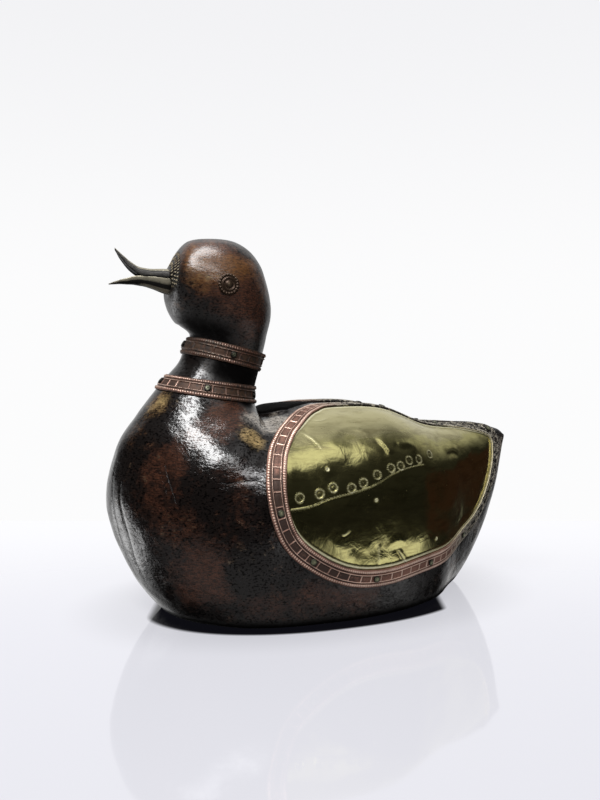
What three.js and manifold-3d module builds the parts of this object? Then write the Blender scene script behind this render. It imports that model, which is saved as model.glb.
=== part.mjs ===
// Carved wooden duck with brass sheet on its wings, embossed copper strip round the
// wings and the neck, stamped metal eyes and an open two-piece metal beak.
// Millimetres, +Z up. The duck faces -Y, its left side is +X, and it stands on z = 0.
import * as THREE from 'three';
import { mergeVertices } from 'three/addons/utils/BufferGeometryUtils.js';
import Module from 'manifold-3d';

const wasm = await Module();
wasm.setup();

const degree = Math.PI / 180;

// Driving sizes
const clearance = 0.4; // gap between pieces that touch
const sheetLift = 1; // underside of the wing sheet above the wood
const sheetThickness = 0.6;
const sheetInset = 4.4; // edge of the wing sheet inside the middle line of its border
const sheetSectors = 28;
const sheetRings = 5;
const stripLift = 0.9; // outer edge of a wing's border above the wood
const borderGap = 1; // inner edge of a wing's border above the top of the sheet
const neckStripLift = 1;
const stripHalfWidth = 6.2;
const railCentre = 4.6; // from the middle of the strip to the crest of each rail
const cellHalfWidth = 3.2;
const wingPitches = 66; // ladder cells round a wing
const lowerNeckPitches = 24;
const upperNeckPitches = 20;
const wingStart = 6.34; // place on the wing line where its first cell is centred
const wingNails = [0, 5, 11, 17, 23, 29, 35, 41, 47]; // cells that hold a nail
const lowerNeckNails = [2, 7, 12, 17, 22];
const upperNeckNails = [0, 5, 10, 15];
const nailRadius = 2.3;
const nailHeight = 1.4;
const nailFacets = 7;
const cellFloor = 0.6; // heights above the underside of the strip
const rungHeight = 0.6; // above the floor of a cell
const railHeight = 1.4;
const eyeRadius = 7.2;
const eyeLift = 0.5; // middle of the eye's underside above the wood
const eyeFacets = 13;
const eyePlace = { station: 18.23, angle: 86.7 };
const bodyFacets = 28; // round each section of the wood

// The wood is a loft. Each station gives the point of its section on the back line and
// on the belly line, as distance forward and height, then half the width of the section.
// lean moves the widest point down, pear and square bend the section's outline.
// The belly line runs below the floor where the duck's flat base is cut.
const stations = [
  { name: 'tail tip', back: [-155, 111.5], belly: [-152, 102], half: 1.5 },
  { name: 'tail edge', back: [-147, 117], belly: [-144, 61], half: 6.5, lean: -0.4 },
  { name: 'tail', back: [-131, 120.5], belly: [-120, 13], half: 18, lean: -0.45, square: 0.02 },
  { name: 'rump', back: [-102.5, 122], belly: [-90, -16], half: 37.5, lean: -0.5, square: 0.05 },
  { name: 'haunch', back: [-70.5, 125], belly: [-67, -38], half: 57, lean: -0.5, square: 0.06 },
  { name: 'back', back: [-32.5, 138.5], belly: [-33, -44.5], half: 74, lean: -0.4, square: 0.06 },
  { name: 'middle', back: [7, 140.5], belly: [11, -48], half: 80, lean: -0.3, square: 0.06 },
  {
    name: 'shoulder', back: [37.5, 140], belly: [61.5, -42], half: 79,
    lean: -0.2, pear: 0.02, square: 0.05,
  },
  {
    name: 'low breast', back: [50, 136], belly: [98.5, -16], half: 78,
    lean: -0.1, pear: 0.05, square: 0.03,
  },
  { name: 'breast', back: [53, 135.5], belly: [134, 20.5], half: 69, pear: 0.08, square: 0.02 },
  { name: 'high breast', back: [53.5, 138], belly: [154.5, 70.5], half: 59.5, pear: 0.1 },
  { name: 'neck foot', back: [53.5, 140.5], belly: [149.5, 110], half: 47.5, pear: 0.08 },
  { name: 'low neck', back: [53.5, 144], belly: [134.5, 135], half: 38, pear: 0.03 },
  { name: 'lower band', back: [54, 147.5], belly: [117, 157.5], half: 31.5 },
  { name: 'neck', back: [51.5, 157.5], belly: [105.5, 170], half: 27 },
  { name: 'upper band', back: [48.5, 168], belly: [101.5, 181.5], half: 25.5 },
  { name: 'throat', back: [44, 187], belly: [97.5, 189], half: 27.5 },
  { name: 'nape', back: [41, 208], belly: [104, 194.5], half: 30.5 },
  { name: 'back of head', back: [49, 238], belly: [108, 197], half: 31.5 },
  { name: 'crown', back: [67.5, 253], belly: [112.5, 204.5], half: 30 },
  { name: 'brow', back: [97, 252.5], belly: [114, 212.5], half: 25 },
  { name: 'forehead', back: [110, 237], belly: [112, 221], half: 14.5 },
  { name: 'beak root', back: [114.5, 227.5], belly: [114, 226.5], half: 1.5 },
];
const lowerBandStation = 13;
const upperBandStation = 15.1;
const closeRows = [7, 8, 9, 10, 11, 12, 15]; // spans with three rows of facets, others two

// Middle line of the left wing's border: station along the duck and angle round the
// section, 0 on the back line and 180 on the belly line.
const wingLine = [
  [5.95, 13], [6.49, 19.5], [7.04, 30.5], [7.55, 38], [7.95, 47], [7.98, 60], [7.75, 73], [7.3, 86],
  [6.75, 96.5], [6.1, 106], [5.3, 110.5], [4.3, 109.7], [3.3, 110.5], [2.52, 110], [1.92, 101.5],
  [1.62, 87.5], [1.52, 66], [1.63, 44], [2.12, 26], [3.3, 16], [4.7, 13.5],
];
const wingCentre = [4.6, 62];

// Sections of the beak's two halves: forward, top, underside, half width.
const upperBeakSections = [
  [104, 232.2, 226.6, 6.8], [114, 233, 227, 7.2], [124, 232.9, 227.7, 7], [131.6, 234, 228.4, 6.2],
  [137.5, 237.2, 232.2, 5], [143, 242, 238.2, 3.4], [147.3, 246, 244.6, 0.9],
];
const lowerBeakSections = [
  [104, 225.8, 215.6, 6.6], [113, 226, 216, 7], [122, 226.6, 219, 7], [129, 227.3, 221, 6.4],
  [136, 226.9, 221.8, 5.4], [144, 224.9, 222, 3.6], [151.6, 222.4, 221.7, 0.9],
];

// Smooth curve through rows of numbers at parameter t, either closed or with free ends.
function curveThrough(rows, t, closed = false) {
  const count = rows.length;
  const row = (k) => {
    if (closed) return rows[((k % count) + count) % count];
    if (k < 0) return rows[0].map((v, n) => 2 * v - rows[1][n]);
    if (k >= count) return rows[count - 1].map((v, n) => 2 * v - rows[count - 2][n]);
    return rows[k];
  };
  const place = closed ? t : Math.min(Math.max(t, 0), count - 1);
  const start = closed ? Math.floor(place) : Math.min(Math.floor(place), count - 2);
  const f = place - start;
  const [a, b, c, d] = [row(start - 1), row(start), row(start + 1), row(start + 2)];
  return b.map((v, n) => v + 0.5 * f * (c[n] - a[n]
    + f * (2 * a[n] - 5 * v + 4 * c[n] - d[n] + f * (3 * (v - c[n]) + d[n] - a[n]))));
}

const stationRows = stations.map(({ back, belly, half, lean = 0, pear = 0, square = 0 }) => (
  [...back, ...belly, half, lean, pear, square]));

// Point on the wood at a station and an angle in radians, positive on the left side.
function woodPoint(station, angle) {
  const [backF, backZ, bellyF, bellyZ, half, lean, pear, square] = curveThrough(stationRows, station);
  const down = (1 - Math.cos(angle)) / 2;
  const share = down + lean * down * (1 - down);
  const side = Math.sin(angle) + pear * Math.sin(2 * angle) + square * Math.sin(3 * angle);
  return new THREE.Vector3(
    half * side,
    -(backF + (bellyF - backF) * share),
    backZ + (bellyZ - backZ) * share,
  );
}

// Slopes of the wood along the stations and round the section.
function woodSlopes(station, angle) {
  const step = 0.002;
  const along = woodPoint(station + step, angle).sub(woodPoint(station - step, angle));
  const round = woodPoint(station, angle + step).sub(woodPoint(station, angle - step));
  return { along: along.divideScalar(2 * step), round: round.divideScalar(2 * step) };
}

function liftedPoint(station, angle, lift) {
  const { along, round } = woodSlopes(station, angle);
  return woodPoint(station, angle).addScaledVector(along.cross(round).normalize(), lift);
}

// Builds a closed body from points and triangles, turned so that its faces point out.
function closedBody(points, triangles) {
  let volume = 0;
  for (const [a, b, c] of triangles) {
    volume += points[a].dot(new THREE.Vector3().crossVectors(points[b], points[c]));
  }
  const order = volume < 0 ? ([a, b, c]) => [a, c, b] : (corners) => corners;
  const places = points.flatMap((p) => p.toArray());
  const geometry = new THREE.BufferGeometry();
  geometry.setAttribute('position', new THREE.Float32BufferAttribute(places, 3));
  geometry.setIndex(triangles.flatMap(order));
  geometry.computeVertexNormals();
  return geometry;
}

// Joins rows of points, each a closed ring. The first and last rows are joined to each
// other when the body is a hoop, and otherwise closed by a fan.
function bodyFromRings(rings, hoop = false) {
  const size = rings[0].length;
  const points = rings.flat();
  const triangles = [];
  const spans = hoop ? rings.length : rings.length - 1;
  for (let i = 0; i < spans; i += 1) {
    const next = (i + 1) % rings.length;
    for (let j = 0; j < size; j += 1) {
      const k = (j + 1) % size;
      triangles.push([i * size + j, next * size + j, next * size + k]);
      triangles.push([i * size + j, next * size + k, i * size + k]);
    }
  }
  if (!hoop) {
    const last = (rings.length - 1) * size;
    for (let j = 1; j < size - 1; j += 1) {
      triangles.push([0, j, j + 1]);
      triangles.push([last, last + j + 1, last + j]);
    }
  }
  return closedBody(points, triangles);
}

function asManifold(geometry) {
  const bare = geometry.clone();
  bare.deleteAttribute('normal');
  bare.deleteAttribute('uv');
  const merged = mergeVertices(bare, 1e-5);
  return new wasm.Manifold(new wasm.Mesh({
    numProp: 3,
    vertProperties: new Float32Array(merged.attributes.position.array),
    triVerts: new Uint32Array(merged.index.array),
  }));
}

function asGeometry(manifold) {
  const mesh = manifold.getMesh();
  const geometry = new THREE.BufferGeometry();
  geometry.setAttribute('position', new THREE.Float32BufferAttribute(mesh.vertProperties, 3));
  geometry.setIndex(Array.from(mesh.triVerts));
  geometry.computeVertexNormals();
  return geometry;
}

// The same body on the other side of the duck.
function mirrored(geometry) {
  const copy = geometry.clone();
  copy.scale(-1, 1, 1);
  const index = Array.from(copy.index.array);
  for (let i = 0; i < index.length; i += 3) {
    [index[i], index[i + 1]] = [index[i + 1], index[i]];
  }
  copy.setIndex(index);
  copy.computeVertexNormals();
  return copy;
}

// The whole loft, its surface lifted off the wood by the given distance.
function skinBody(lift) {
  const rings = [];
  for (let span = 0; span < stations.length - 1; span += 1) {
    const rows = closeRows.includes(span) ? 3 : 2;
    for (let row = 0; row < rows; row += 1) rings.push(span + row / rows);
  }
  rings.push(stations.length - 1);
  return bodyFromRings(rings.map((station) => Array.from({ length: bodyFacets }, (_, j) => (
    liftedPoint(station, (j / bodyFacets) * 2 * Math.PI, lift)))));
}

// One half of the beak, or with a margin the room that it needs in the head.
function beakBody(sections, margin = 0) {
  const corners = 8;
  return bodyFromRings(sections.map(([forward, top, under, half]) => (
    Array.from({ length: corners }, (_, k) => {
      const turn = (k + 0.5) * ((2 * Math.PI) / corners);
      const height = (top - under) / 2 + margin;
      return new THREE.Vector3(
        (half + margin) * Math.cos(turn),
        -forward,
        (top + under) / 2 + height * Math.sin(turn),
      );
    }))));
}

function carvedDuck() {
  const belowFloor = new THREE.BoxGeometry(400, 400, 100).translate(0, 0, -50);
  const room = ([[forward, ...root], ...rest]) => (
    asManifold(beakBody([[forward - clearance, ...root], ...rest], clearance)));
  return asGeometry(asManifold(skinBody(0))
    .subtract(asManifold(belowFloor))
    .subtract(room(upperBeakSections))
    .subtract(room(lowerBeakSections)));
}

// Follows a closed line on the wood and cuts it into equal lengths. Returns the place on
// the line that lies at a given number of those lengths.
function evenLine(pointAt, length, parts) {
  const samples = 900;
  const travelled = [0];
  let previous = woodPoint(...pointAt(0));
  for (let i = 1; i <= samples; i += 1) {
    const here = woodPoint(...pointAt((i / samples) * length));
    travelled.push(travelled[i - 1] + here.distanceTo(previous));
    previous = here;
  }
  return (share) => {
    const goal = (share / parts) * travelled[samples];
    const i = Math.min(travelled.findIndex((v) => v >= goal), samples);
    if (i <= 0) return pointAt(0);
    const f = (goal - travelled[i - 1]) / (travelled[i] - travelled[i - 1]);
    return pointAt(((i - 1 + f) / samples) * length);
  };
}

const wingPoint = (t) => {
  const [station, angle] = curveThrough(wingLine, t, true);
  return [station, angle * degree];
};
const wingPath = evenLine((t) => wingPoint(t + wingStart), wingLine.length, wingPitches);
const hoopPath = (station, pitches) => evenLine((t) => [station, t * 2 * Math.PI], 1, pitches);

// Place on the wood at a distance square to a closed line, positive away from the wing.
// It walks over the surface in short steps, so that it follows the curve of the wood.
function beside(path, pitches, share, across) {
  const reach = 0.05;
  const ahead = woodPoint(...path((share + reach) % pitches));
  const line = ahead.sub(woodPoint(...path((share - reach + pitches) % pitches)));
  let [station, angle] = path(share);
  const steps = 6;
  for (let i = 0; i < steps; i += 1) {
    const { along, round } = woodSlopes(station, angle);
    const outward = new THREE.Vector3().crossVectors(along, round).cross(line).normalize();
    const a = along.dot(along);
    const b = along.dot(round);
    const c = round.dot(round);
    const p = outward.dot(along) * (across / steps);
    const q = outward.dot(round) * (across / steps);
    station -= (c * p - b * q) / (a * c - b * b);
    angle -= (a * q - b * p) / (a * c - b * b);
  }
  return [station, angle];
}

// Section of the copper strip: distance from the middle line and height. Two rails run
// beside the cells. A wing's border bridges from the sheet to the wood beside it.
function stripProfile(underIn, underOut, onRung) {
  const under = (across) => underIn + (underOut - underIn) * (across / stripHalfWidth + 1) / 2;
  const top = (across, height) => [across, under(across) + height];
  const cell = onRung ? cellFloor + rungHeight : cellFloor;
  return [
    [-stripHalfWidth, underIn], top(-railCentre, railHeight), top(-cellHalfWidth, cell),
    top(cellHalfWidth, cell), top(railCentre, railHeight), [stripHalfWidth, underOut],
  ];
}

function stripBody(path, pitches, underIn, underOut) {
  const rings = [];
  for (let half = 0; half < pitches * 2; half += 1) {
    rings.push(stripProfile(underIn, underOut, half % 2 === 1).map(([across, height]) => (
      liftedPoint(...beside(path, pitches, half / 2, across), height))));
  }
  return bodyFromRings(rings, true);
}

// Brass sheet over the left wing, worked out in rings from its middle to its edge.
function wingSheet() {
  const [midStation, midAngle] = [wingCentre[0], wingCentre[1] * degree];
  const points = [];
  const triangles = [];
  for (const lift of [sheetLift, sheetLift + sheetThickness]) {
    const first = points.length;
    points.push(liftedPoint(midStation, midAngle, lift));
    for (let ring = 1; ring <= sheetRings; ring += 1) {
      for (let k = 0; k < sheetSectors; k += 1) {
        const share = (k / sheetSectors) * wingPitches;
        const [station, angle] = beside(wingPath, wingPitches, share, -sheetInset);
        const part = ring / sheetRings;
        points.push(liftedPoint(
          midStation + (station - midStation) * part,
          midAngle + (angle - midAngle) * part,
          lift,
        ));
      }
    }
    const at = (ring, k) => first + 1 + (ring - 1) * sheetSectors + (k % sheetSectors);
    const layer = [];
    for (let k = 0; k < sheetSectors; k += 1) {
      layer.push([first, at(1, k), at(1, k + 1)]);
      for (let ring = 1; ring < sheetRings; ring += 1) {
        layer.push([at(ring, k), at(ring + 1, k), at(ring + 1, k + 1)]);
        layer.push([at(ring, k), at(ring + 1, k + 1), at(ring, k + 1)]);
      }
    }
    triangles.push(...(first === 0 ? layer.map(([a, b, c]) => [a, c, b]) : layer));
  }
  const edge = 1 + (sheetRings - 1) * sheetSectors;
  const top = edge + 1 + sheetRings * sheetSectors;
  for (let k = 0; k < sheetSectors; k += 1) {
    const next = (k + 1) % sheetSectors;
    triangles.push([edge + k, edge + next, top + next], [edge + k, top + next, top + k]);
  }
  return closedBody(points, triangles);
}

const turned = (profile, facets) => (
  new THREE.LatheGeometry(profile.map(([x, y]) => new THREE.Vector2(x, y)), facets));

// Low rounded head of a nail.
function nailHead() {
  return turned([
    [0, 0], [nailRadius, 0], [nailRadius * 0.75, nailHeight * 0.7], [0, nailHeight],
  ], nailFacets);
}

// Stamped disc with a raised rim, a ring and a boss, hollow below to sit on the head.
function eyeDisc() {
  return turned([
    [0, 0], [eyeRadius, -0.8], [eyeRadius, -0.1], [eyeRadius * 0.86, 0.7], [eyeRadius * 0.7, 0.3],
    [eyeRadius * 0.5, 0.5], [eyeRadius * 0.36, 1.4], [0, 1.7],
  ], eyeFacets);
}

const finish = (color, roughness, metalness) => () => new THREE.MeshStandardMaterial({
  color, roughness, metalness, flatShading: true,
});
const wood = finish(0x3a2015, 0.45, 0);
const brass = finish(0x9a8a3c, 0.25, 1);
const copper = finish(0x8a4a36, 0.4, 1);
const darkMetal = finish(0x3b3630, 0.4, 1);

const duck = new THREE.Group();

function addPiece(name, geometry, material) {
  const mesh = new THREE.Mesh(geometry, material());
  mesh.name = name;
  duck.add(mesh);
  return mesh;
}

// Sets a turned piece on the wood, its axis square to the surface.
function addSeated(name, geometry, material, [station, angle], lift) {
  const mesh = addPiece(name, geometry, material);
  const { along, round } = woodSlopes(station, angle);
  mesh.position.copy(liftedPoint(station, angle, lift));
  mesh.quaternion.setFromUnitVectors(new THREE.Vector3(0, 1, 0), along.cross(round).normalize());
}

addPiece('carved_duck', carvedDuck(), wood);
addPiece('upper_beak', beakBody(upperBeakSections), darkMetal);
addPiece('lower_beak', beakBody(lowerBeakSections), darkMetal);

const sheet = wingSheet();
const sheetTop = sheetLift + sheetThickness;
const borderIn = sheetTop + borderGap;
// Foot of a nail above the underside of its strip.
const nailStand = cellFloor + rungHeight / 2 + clearance;
const wingNailLift = (borderIn + stripLift) / 2 + nailStand;
const border = stripBody(wingPath, wingPitches, borderIn, stripLift);
for (const [side, sign] of [['left', 1], ['right', -1]]) {
  addPiece(`${side}_wing_sheet`, sign > 0 ? sheet : mirrored(sheet), brass);
  addPiece(`${side}_wing_border`, sign > 0 ? border : mirrored(border), copper);
  wingNails.forEach((cell, n) => {
    const [station, angle] = wingPath(cell);
    addSeated(`${side}_wing_nail_${n + 1}`, nailHead(), brass, [station, sign * angle], wingNailLift);
  });
  const eyeSpot = [eyePlace.station, sign * eyePlace.angle * degree];
  addSeated(`${side}_eye`, eyeDisc(), darkMetal, eyeSpot, eyeLift);
}

for (const [name, station, pitches, nails] of [
  ['lower_neck', lowerBandStation, lowerNeckPitches, lowerNeckNails],
  ['upper_neck', upperBandStation, upperNeckPitches, upperNeckNails],
]) {
  const path = hoopPath(station, pitches);
  addPiece(`${name}_band`, stripBody(path, pitches, neckStripLift, neckStripLift), copper);
  nails.forEach((cell, n) => {
    addSeated(`${name}_nail_${n + 1}`, nailHead(), brass, path(cell), neckStripLift + nailStand);
  });
}

export default duck;
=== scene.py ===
import math

import bpy
import numpy as np
from mathutils import Matrix


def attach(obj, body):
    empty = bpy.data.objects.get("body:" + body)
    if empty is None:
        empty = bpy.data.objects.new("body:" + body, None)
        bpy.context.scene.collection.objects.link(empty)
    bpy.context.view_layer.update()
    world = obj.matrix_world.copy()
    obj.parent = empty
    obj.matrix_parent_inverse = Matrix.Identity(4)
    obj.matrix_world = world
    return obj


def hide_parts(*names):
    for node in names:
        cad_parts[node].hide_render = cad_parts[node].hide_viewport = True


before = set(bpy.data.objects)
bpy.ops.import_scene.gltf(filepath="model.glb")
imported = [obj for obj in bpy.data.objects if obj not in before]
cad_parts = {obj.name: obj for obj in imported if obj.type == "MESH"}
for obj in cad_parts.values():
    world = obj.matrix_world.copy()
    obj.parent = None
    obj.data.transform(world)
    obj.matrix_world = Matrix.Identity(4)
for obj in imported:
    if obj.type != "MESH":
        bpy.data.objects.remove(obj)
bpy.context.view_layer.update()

# the carved form, in millimetres: the duck faces -Y, its left side is +X

# Sections of the wood from tail to beak: back line forward and height, belly line
# forward and height, half width, lean, pear, square.
stations = np.array([
    (-155, 111.5, -152, 102, 1.5, 0, 0, 0),  # tail tip
    (-147, 117, -144, 61, 6.5, -0.4, 0, 0),
    (-131, 120.5, -120, 13, 18, -0.45, 0, 0.02),
    (-102.5, 122, -90, -16, 37.5, -0.5, 0, 0.05),
    (-70.5, 125, -67, -38, 57, -0.5, 0, 0.06),
    (-32.5, 138.5, -33, -44.5, 74, -0.4, 0, 0.06),
    (7, 140.5, 11, -48, 80, -0.3, 0, 0.06),  # middle
    (37.5, 140, 61.5, -42, 79, -0.2, 0.02, 0.05),
    (50, 136, 98.5, -16, 78, -0.1, 0.05, 0.03),
    (53, 135.5, 134, 20.5, 69, 0, 0.08, 0.02),  # breast
    (53.5, 138, 154.5, 70.5, 59.5, 0, 0.1, 0),
    (53.5, 140.5, 149.5, 110, 47.5, 0, 0.08, 0),
    (53.5, 144, 134.5, 135, 38, 0, 0.03, 0),
    (54, 147.5, 117, 157.5, 31.5, 0, 0, 0),  # lower strip
    (51.5, 157.5, 105.5, 170, 27, 0, 0, 0),
    (48.5, 168, 101.5, 181.5, 25.5, 0, 0, 0),  # upper strip
    (44, 187, 97.5, 189, 27.5, 0, 0, 0),
    (41, 208, 104, 194.5, 30.5, 0, 0, 0),
    (49, 238, 108, 197, 31.5, 0, 0, 0),  # eyes
    (67.5, 253, 112.5, 204.5, 30, 0, 0, 0),
    (97, 252.5, 114, 212.5, 25, 0, 0, 0),
    (110, 237, 112, 221, 14.5, 0, 0, 0),
    (114.5, 227.5, 114, 226.5, 1.5, 0, 0, 0),  # beak root
])

# Middle line of the copper round the left wing: station and angle round the section,
# 0 degrees on the back line and 180 on the belly line.
wingLine = np.array([
    (5.95, 13), (6.49, 19.5), (7.04, 30.5), (7.55, 38), (7.95, 47), (7.98, 60), (7.75, 73),
    (7.3, 86), (6.75, 96.5), (6.1, 106), (5.3, 110.5), (4.3, 109.7), (3.3, 110.5), (2.52, 110),
    (1.92, 101.5), (1.62, 87.5), (1.52, 66), (1.63, 44), (2.12, 26), (3.3, 16), (4.7, 13.5),
]) * (1, math.pi / 180)


def curveThrough(rows, t, closed=False):
    # uniform Catmull-Rom curve through rows a, b, c, d:
    # b + f/2 (c - a + f (2a - 5b + 4c - d + f (3 (b - c) + d - a)))
    count = len(rows)
    t = np.asarray(t, float)
    if closed:
        start = np.floor(t).astype(int)
        a, b, c, d = (rows[(start + k) % count] for k in (-1, 0, 1, 2))
    else:
        t = np.clip(t, 0, count - 1)
        start = np.minimum(np.floor(t).astype(int), count - 2)
        padded = np.vstack([2 * rows[:1] - rows[1:2], rows, 2 * rows[-1:] - rows[-2:-1]])
        a, b, c, d = (padded[start + k] for k in (0, 1, 2, 3))
    f = (t - start)[..., None]
    return b + 0.5 * f * (c - a + f * (2 * a - 5 * b + 4 * c - d + f * (3 * (b - c) + d - a)))


def woodPoint(station, angle):
    # half width times (sin a + pear sin 2a + square sin 3a) across; along the line from back
    # to belly by (1 - cos a) / 2, bent by the lean
    backF, backZ, bellyF, bellyZ, half, lean, pear, square = np.moveaxis(
        curveThrough(stations, station), -1, 0)
    down = (1 - np.cos(angle)) / 2
    share = down + lean * down * (1 - down)
    side = np.sin(angle) + pear * np.sin(2 * angle) + square * np.sin(3 * angle)
    return np.stack([half * side, -(backF + (bellyF - backF) * share),
                     backZ + (bellyZ - backZ) * share], -1)


def unit(vectors):
    return vectors / np.linalg.norm(vectors, axis=-1, keepdims=True)


def woodSlopes(station, angle):
    # differences of the surface over a small step each way
    step = 0.002
    along = (woodPoint(station + step, angle) - woodPoint(station - step, angle)) / (2 * step)
    around = (woodPoint(station, angle + step) - woodPoint(station, angle - step)) / (2 * step)
    return along, around


def woodNormal(station, angle):
    return unit(np.cross(*woodSlopes(station, angle)))


def seatOn(station, angle, lift):
    # a place lifted off the wood, and the ways along the body, round it and up from there
    station, angle = np.array(station), np.array(angle)
    along, around = woodSlopes(station, angle)
    up = unit(np.cross(along, around))
    east = unit(along)
    return woodPoint(station, angle) + up * lift, east, np.cross(up, east), up


def awayFrom(places, station, angle):
    # distance of each place from a point on the wood
    return np.linalg.norm(places - woodPoint(np.array(station), np.array(angle)), axis=-1)


def evenLine(pointAt, length, parts, steps=2400):
    # places on a closed line at equal lengths of it: travelled length turned back into t
    t = np.linspace(0, length, steps)
    places = woodPoint(*pointAt(t))
    travelled = np.concatenate([[0], np.cumsum(np.linalg.norm(np.diff(places, axis=0), axis=1))])
    return lambda share: pointAt(np.interp((share % parts) / parts * travelled[-1], travelled, t))


wingPitches = 66  # cells of the strip round a wing
wingStart = 6.34  # where the first of them is on the wing's line


def wingPlace(t):
    return tuple(np.moveaxis(curveThrough(wingLine, t + wingStart, closed=True), -1, 0))


wingPath = evenLine(wingPlace, len(wingLine), wingPitches)


def besideLine(path, share, offsets):
    # walks over the wood square to the line from offset to offset, away from the wing,
    # solving for the station and angle steps that give each small step in space
    reach, stride = 0.05, 0.8
    line = woodPoint(*path(share + reach)) - woodPoint(*path(share - reach))
    start = path(share)
    middle = int(np.argmin(np.abs(offsets)))
    stationsOut = np.empty((len(share), len(offsets)))
    anglesOut = np.empty_like(stationsOut)
    for order in (range(middle, len(offsets)), range(middle, -1, -1)):
        station, angle = start[0].copy(), start[1].copy()
        at = 0.0
        for k in order:
            pieces = max(1, int(math.ceil(abs(offsets[k] - at) / stride)))
            move = (offsets[k] - at) / pieces
            for _ in range(pieces):
                along, around = woodSlopes(station, angle)
                outward = unit(np.cross(np.cross(along, around), line))
                a, b, c = (np.sum(u * v, -1) for u, v in
                           ((along, along), (along, around), (around, around)))
                p = np.sum(outward * along, -1) * move
                q = np.sum(outward * around, -1) * move
                station = station - (c * p - b * q) / (a * c - b * b)
                angle = angle - (a * q - b * p) / (a * c - b * b)
            at = offsets[k]
            stationsOut[:, k], anglesOut[:, k] = station, angle
    return stationsOut, anglesOut


def unevenness(places, size, seed):
    # smooth noise in space, -1 to 1: random values on a lattice blended by f f (3 - 2f)
    side, shift = 24, 100  # the shift keeps the cells' numbers above 0
    lattice = np.random.default_rng(seed).uniform(-1, 1, (side, side, side))
    scaled = places / size + shift
    cell = np.floor(scaled).astype(int)
    f = scaled - cell
    f = f * f * (3 - 2 * f)
    total = np.zeros(places.shape[:-1])
    for corner in np.ndindex(2, 2, 2):
        weight = np.prod(np.where(corner, f, 1 - f), axis=-1)
        i, j, k = np.moveaxis((cell + corner) % side, -1, 0)
        total += weight * lattice[i, j, k]
    return total


def bell(distance, width):
    return np.exp(-(distance / width) ** 2)


def ramp(value, low, high):
    # smooth step from 0 at low to 1 at high
    f = np.clip((value - low) / (high - low), 0, 1)
    return f * f * (3 - 2 * f)


def between(value, low, full, stillFull, lowAgain):
    # smooth step from 0 up to 1 and down to 0 again
    return ramp(value, low, full) * ramp(value, lowAgain, stillFull)


def nearPath(places, normals, line, fade):
    # signed distance from each place to a line of points, and a strength of 1 that fades to
    # 0 over a share of the line at each end
    best = np.full(places.shape[:-1], 1e6)
    along = np.zeros_like(best)
    for k in range(len(line) - 1):
        start, span = line[k], line[k + 1] - line[k]
        t = np.clip((places - start) @ span / (span @ span), 0, 1)
        gap = places - start - t[..., None] * span
        distance = np.linalg.norm(gap, axis=-1)
        side = np.sign(np.sum(np.cross(span, gap) * normals, -1) + 1e-12)
        nearer = distance < np.abs(best)
        best = np.where(nearer, distance * side, best)
        along = np.where(nearer, (k + t) / (len(line) - 1), along)
    return best, between(along, 0, fade, 1 - fade, 1)


def pathOnWood(marks, steps=28):
    # smooth line through a few places given as station and angle
    marks = np.array(marks, float)
    t = np.linspace(0, len(marks) - 1, steps)
    return woodPoint(*np.moveaxis(curveThrough(marks, t), -1, 0))


# putting surfaces into meshes

def gridFaces(rows, columns, wrapRows=False, wrapColumns=False, start=0):
    # quads between neighbouring rows and columns of a grid of points
    i = np.arange(rows if wrapRows else rows - 1)[:, None]
    j = np.arange(columns if wrapColumns else columns - 1)[None, :]
    here, right = i * columns + j, i * columns + (j + 1) % columns
    below = ((i + 1) % rows) * columns
    quads = np.stack([here, below + j, below + (j + 1) % columns, right], -1)
    return quads.reshape(-1, 4) + start


def fanFaces(ring, tip, flip=False):
    # triangles from each side of a ring of point numbers to one tip
    nextOne = np.roll(ring, -1)
    order = (nextOne, ring) if flip else (ring, nextOne)
    return np.stack([*order, np.full(len(ring), tip)], -1)


def addObject(name, data):
    thing = bpy.data.objects.new(name, data)
    bpy.context.scene.collection.objects.link(thing)
    return thing


def makePiece(name, places, faceSets, material, nodes, fields):
    # places in millimetres become a mesh in metres, its faces turned outward: the volume
    # under them, a . (b - a) x (c - a) over their triangles, says which way they point
    places = np.asarray(places, float).reshape(-1, 3)
    volume = 0
    for faces in faceSets:
        a = places[faces[:, 0]]
        for k in range(1, faces.shape[1] - 1):
            b, c = places[faces[:, k]], places[faces[:, k + 1]]
            volume += np.sum(a * np.cross(b - a, c - a))
    order = -1 if volume < 0 else 1
    loops = np.concatenate([faces[:, ::order].ravel() for faces in faceSets])
    sizes = np.concatenate([np.full(len(faces), faces.shape[1]) for faces in faceSets])
    starts = np.cumsum(sizes) - sizes
    mesh = bpy.data.meshes.new(name)
    mesh.vertices.add(len(places))
    mesh.vertices.foreach_set("co", (places / 1000).ravel())
    mesh.loops.add(len(loops))
    mesh.loops.foreach_set("vertex_index", loops.astype(np.int32))
    mesh.polygons.add(len(sizes))
    mesh.polygons.foreach_set("loop_start", starts.astype(np.int32))
    mesh.polygons.foreach_set("loop_total", sizes.astype(np.int32))
    mesh.update(calc_edges=True)
    mesh.polygons.foreach_set("use_smooth", np.full(len(sizes), True))
    for key, values in fields.items():
        mesh.attributes.new(key, "FLOAT", "POINT").data.foreach_set(
            "value", np.asarray(values, np.float32).ravel())
    mesh.materials.append(material)
    piece = addObject(name, mesh)
    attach(piece, "root")
    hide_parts(*nodes)
    return piece


def makeTube(name, places, tips, material, nodes, fields):
    # rings of points closed by a fan to a tip at each end; fields hold the values of the
    # rings and those of the two tips
    rows, columns = places.shape[:2]
    count = rows * columns
    faceSets = [gridFaces(rows, columns, wrapColumns=True),
                fanFaces(np.arange(columns), count, flip=True),
                fanFaces(np.arange(count - columns, count), count + 1)]
    joined = {key: np.append(values, ends) for key, (values, ends) in fields.items()}
    return makePiece(name, np.vstack([places.reshape(-1, 3), tips]), faceSets, material, nodes,
                     joined)


# shader maths

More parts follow.
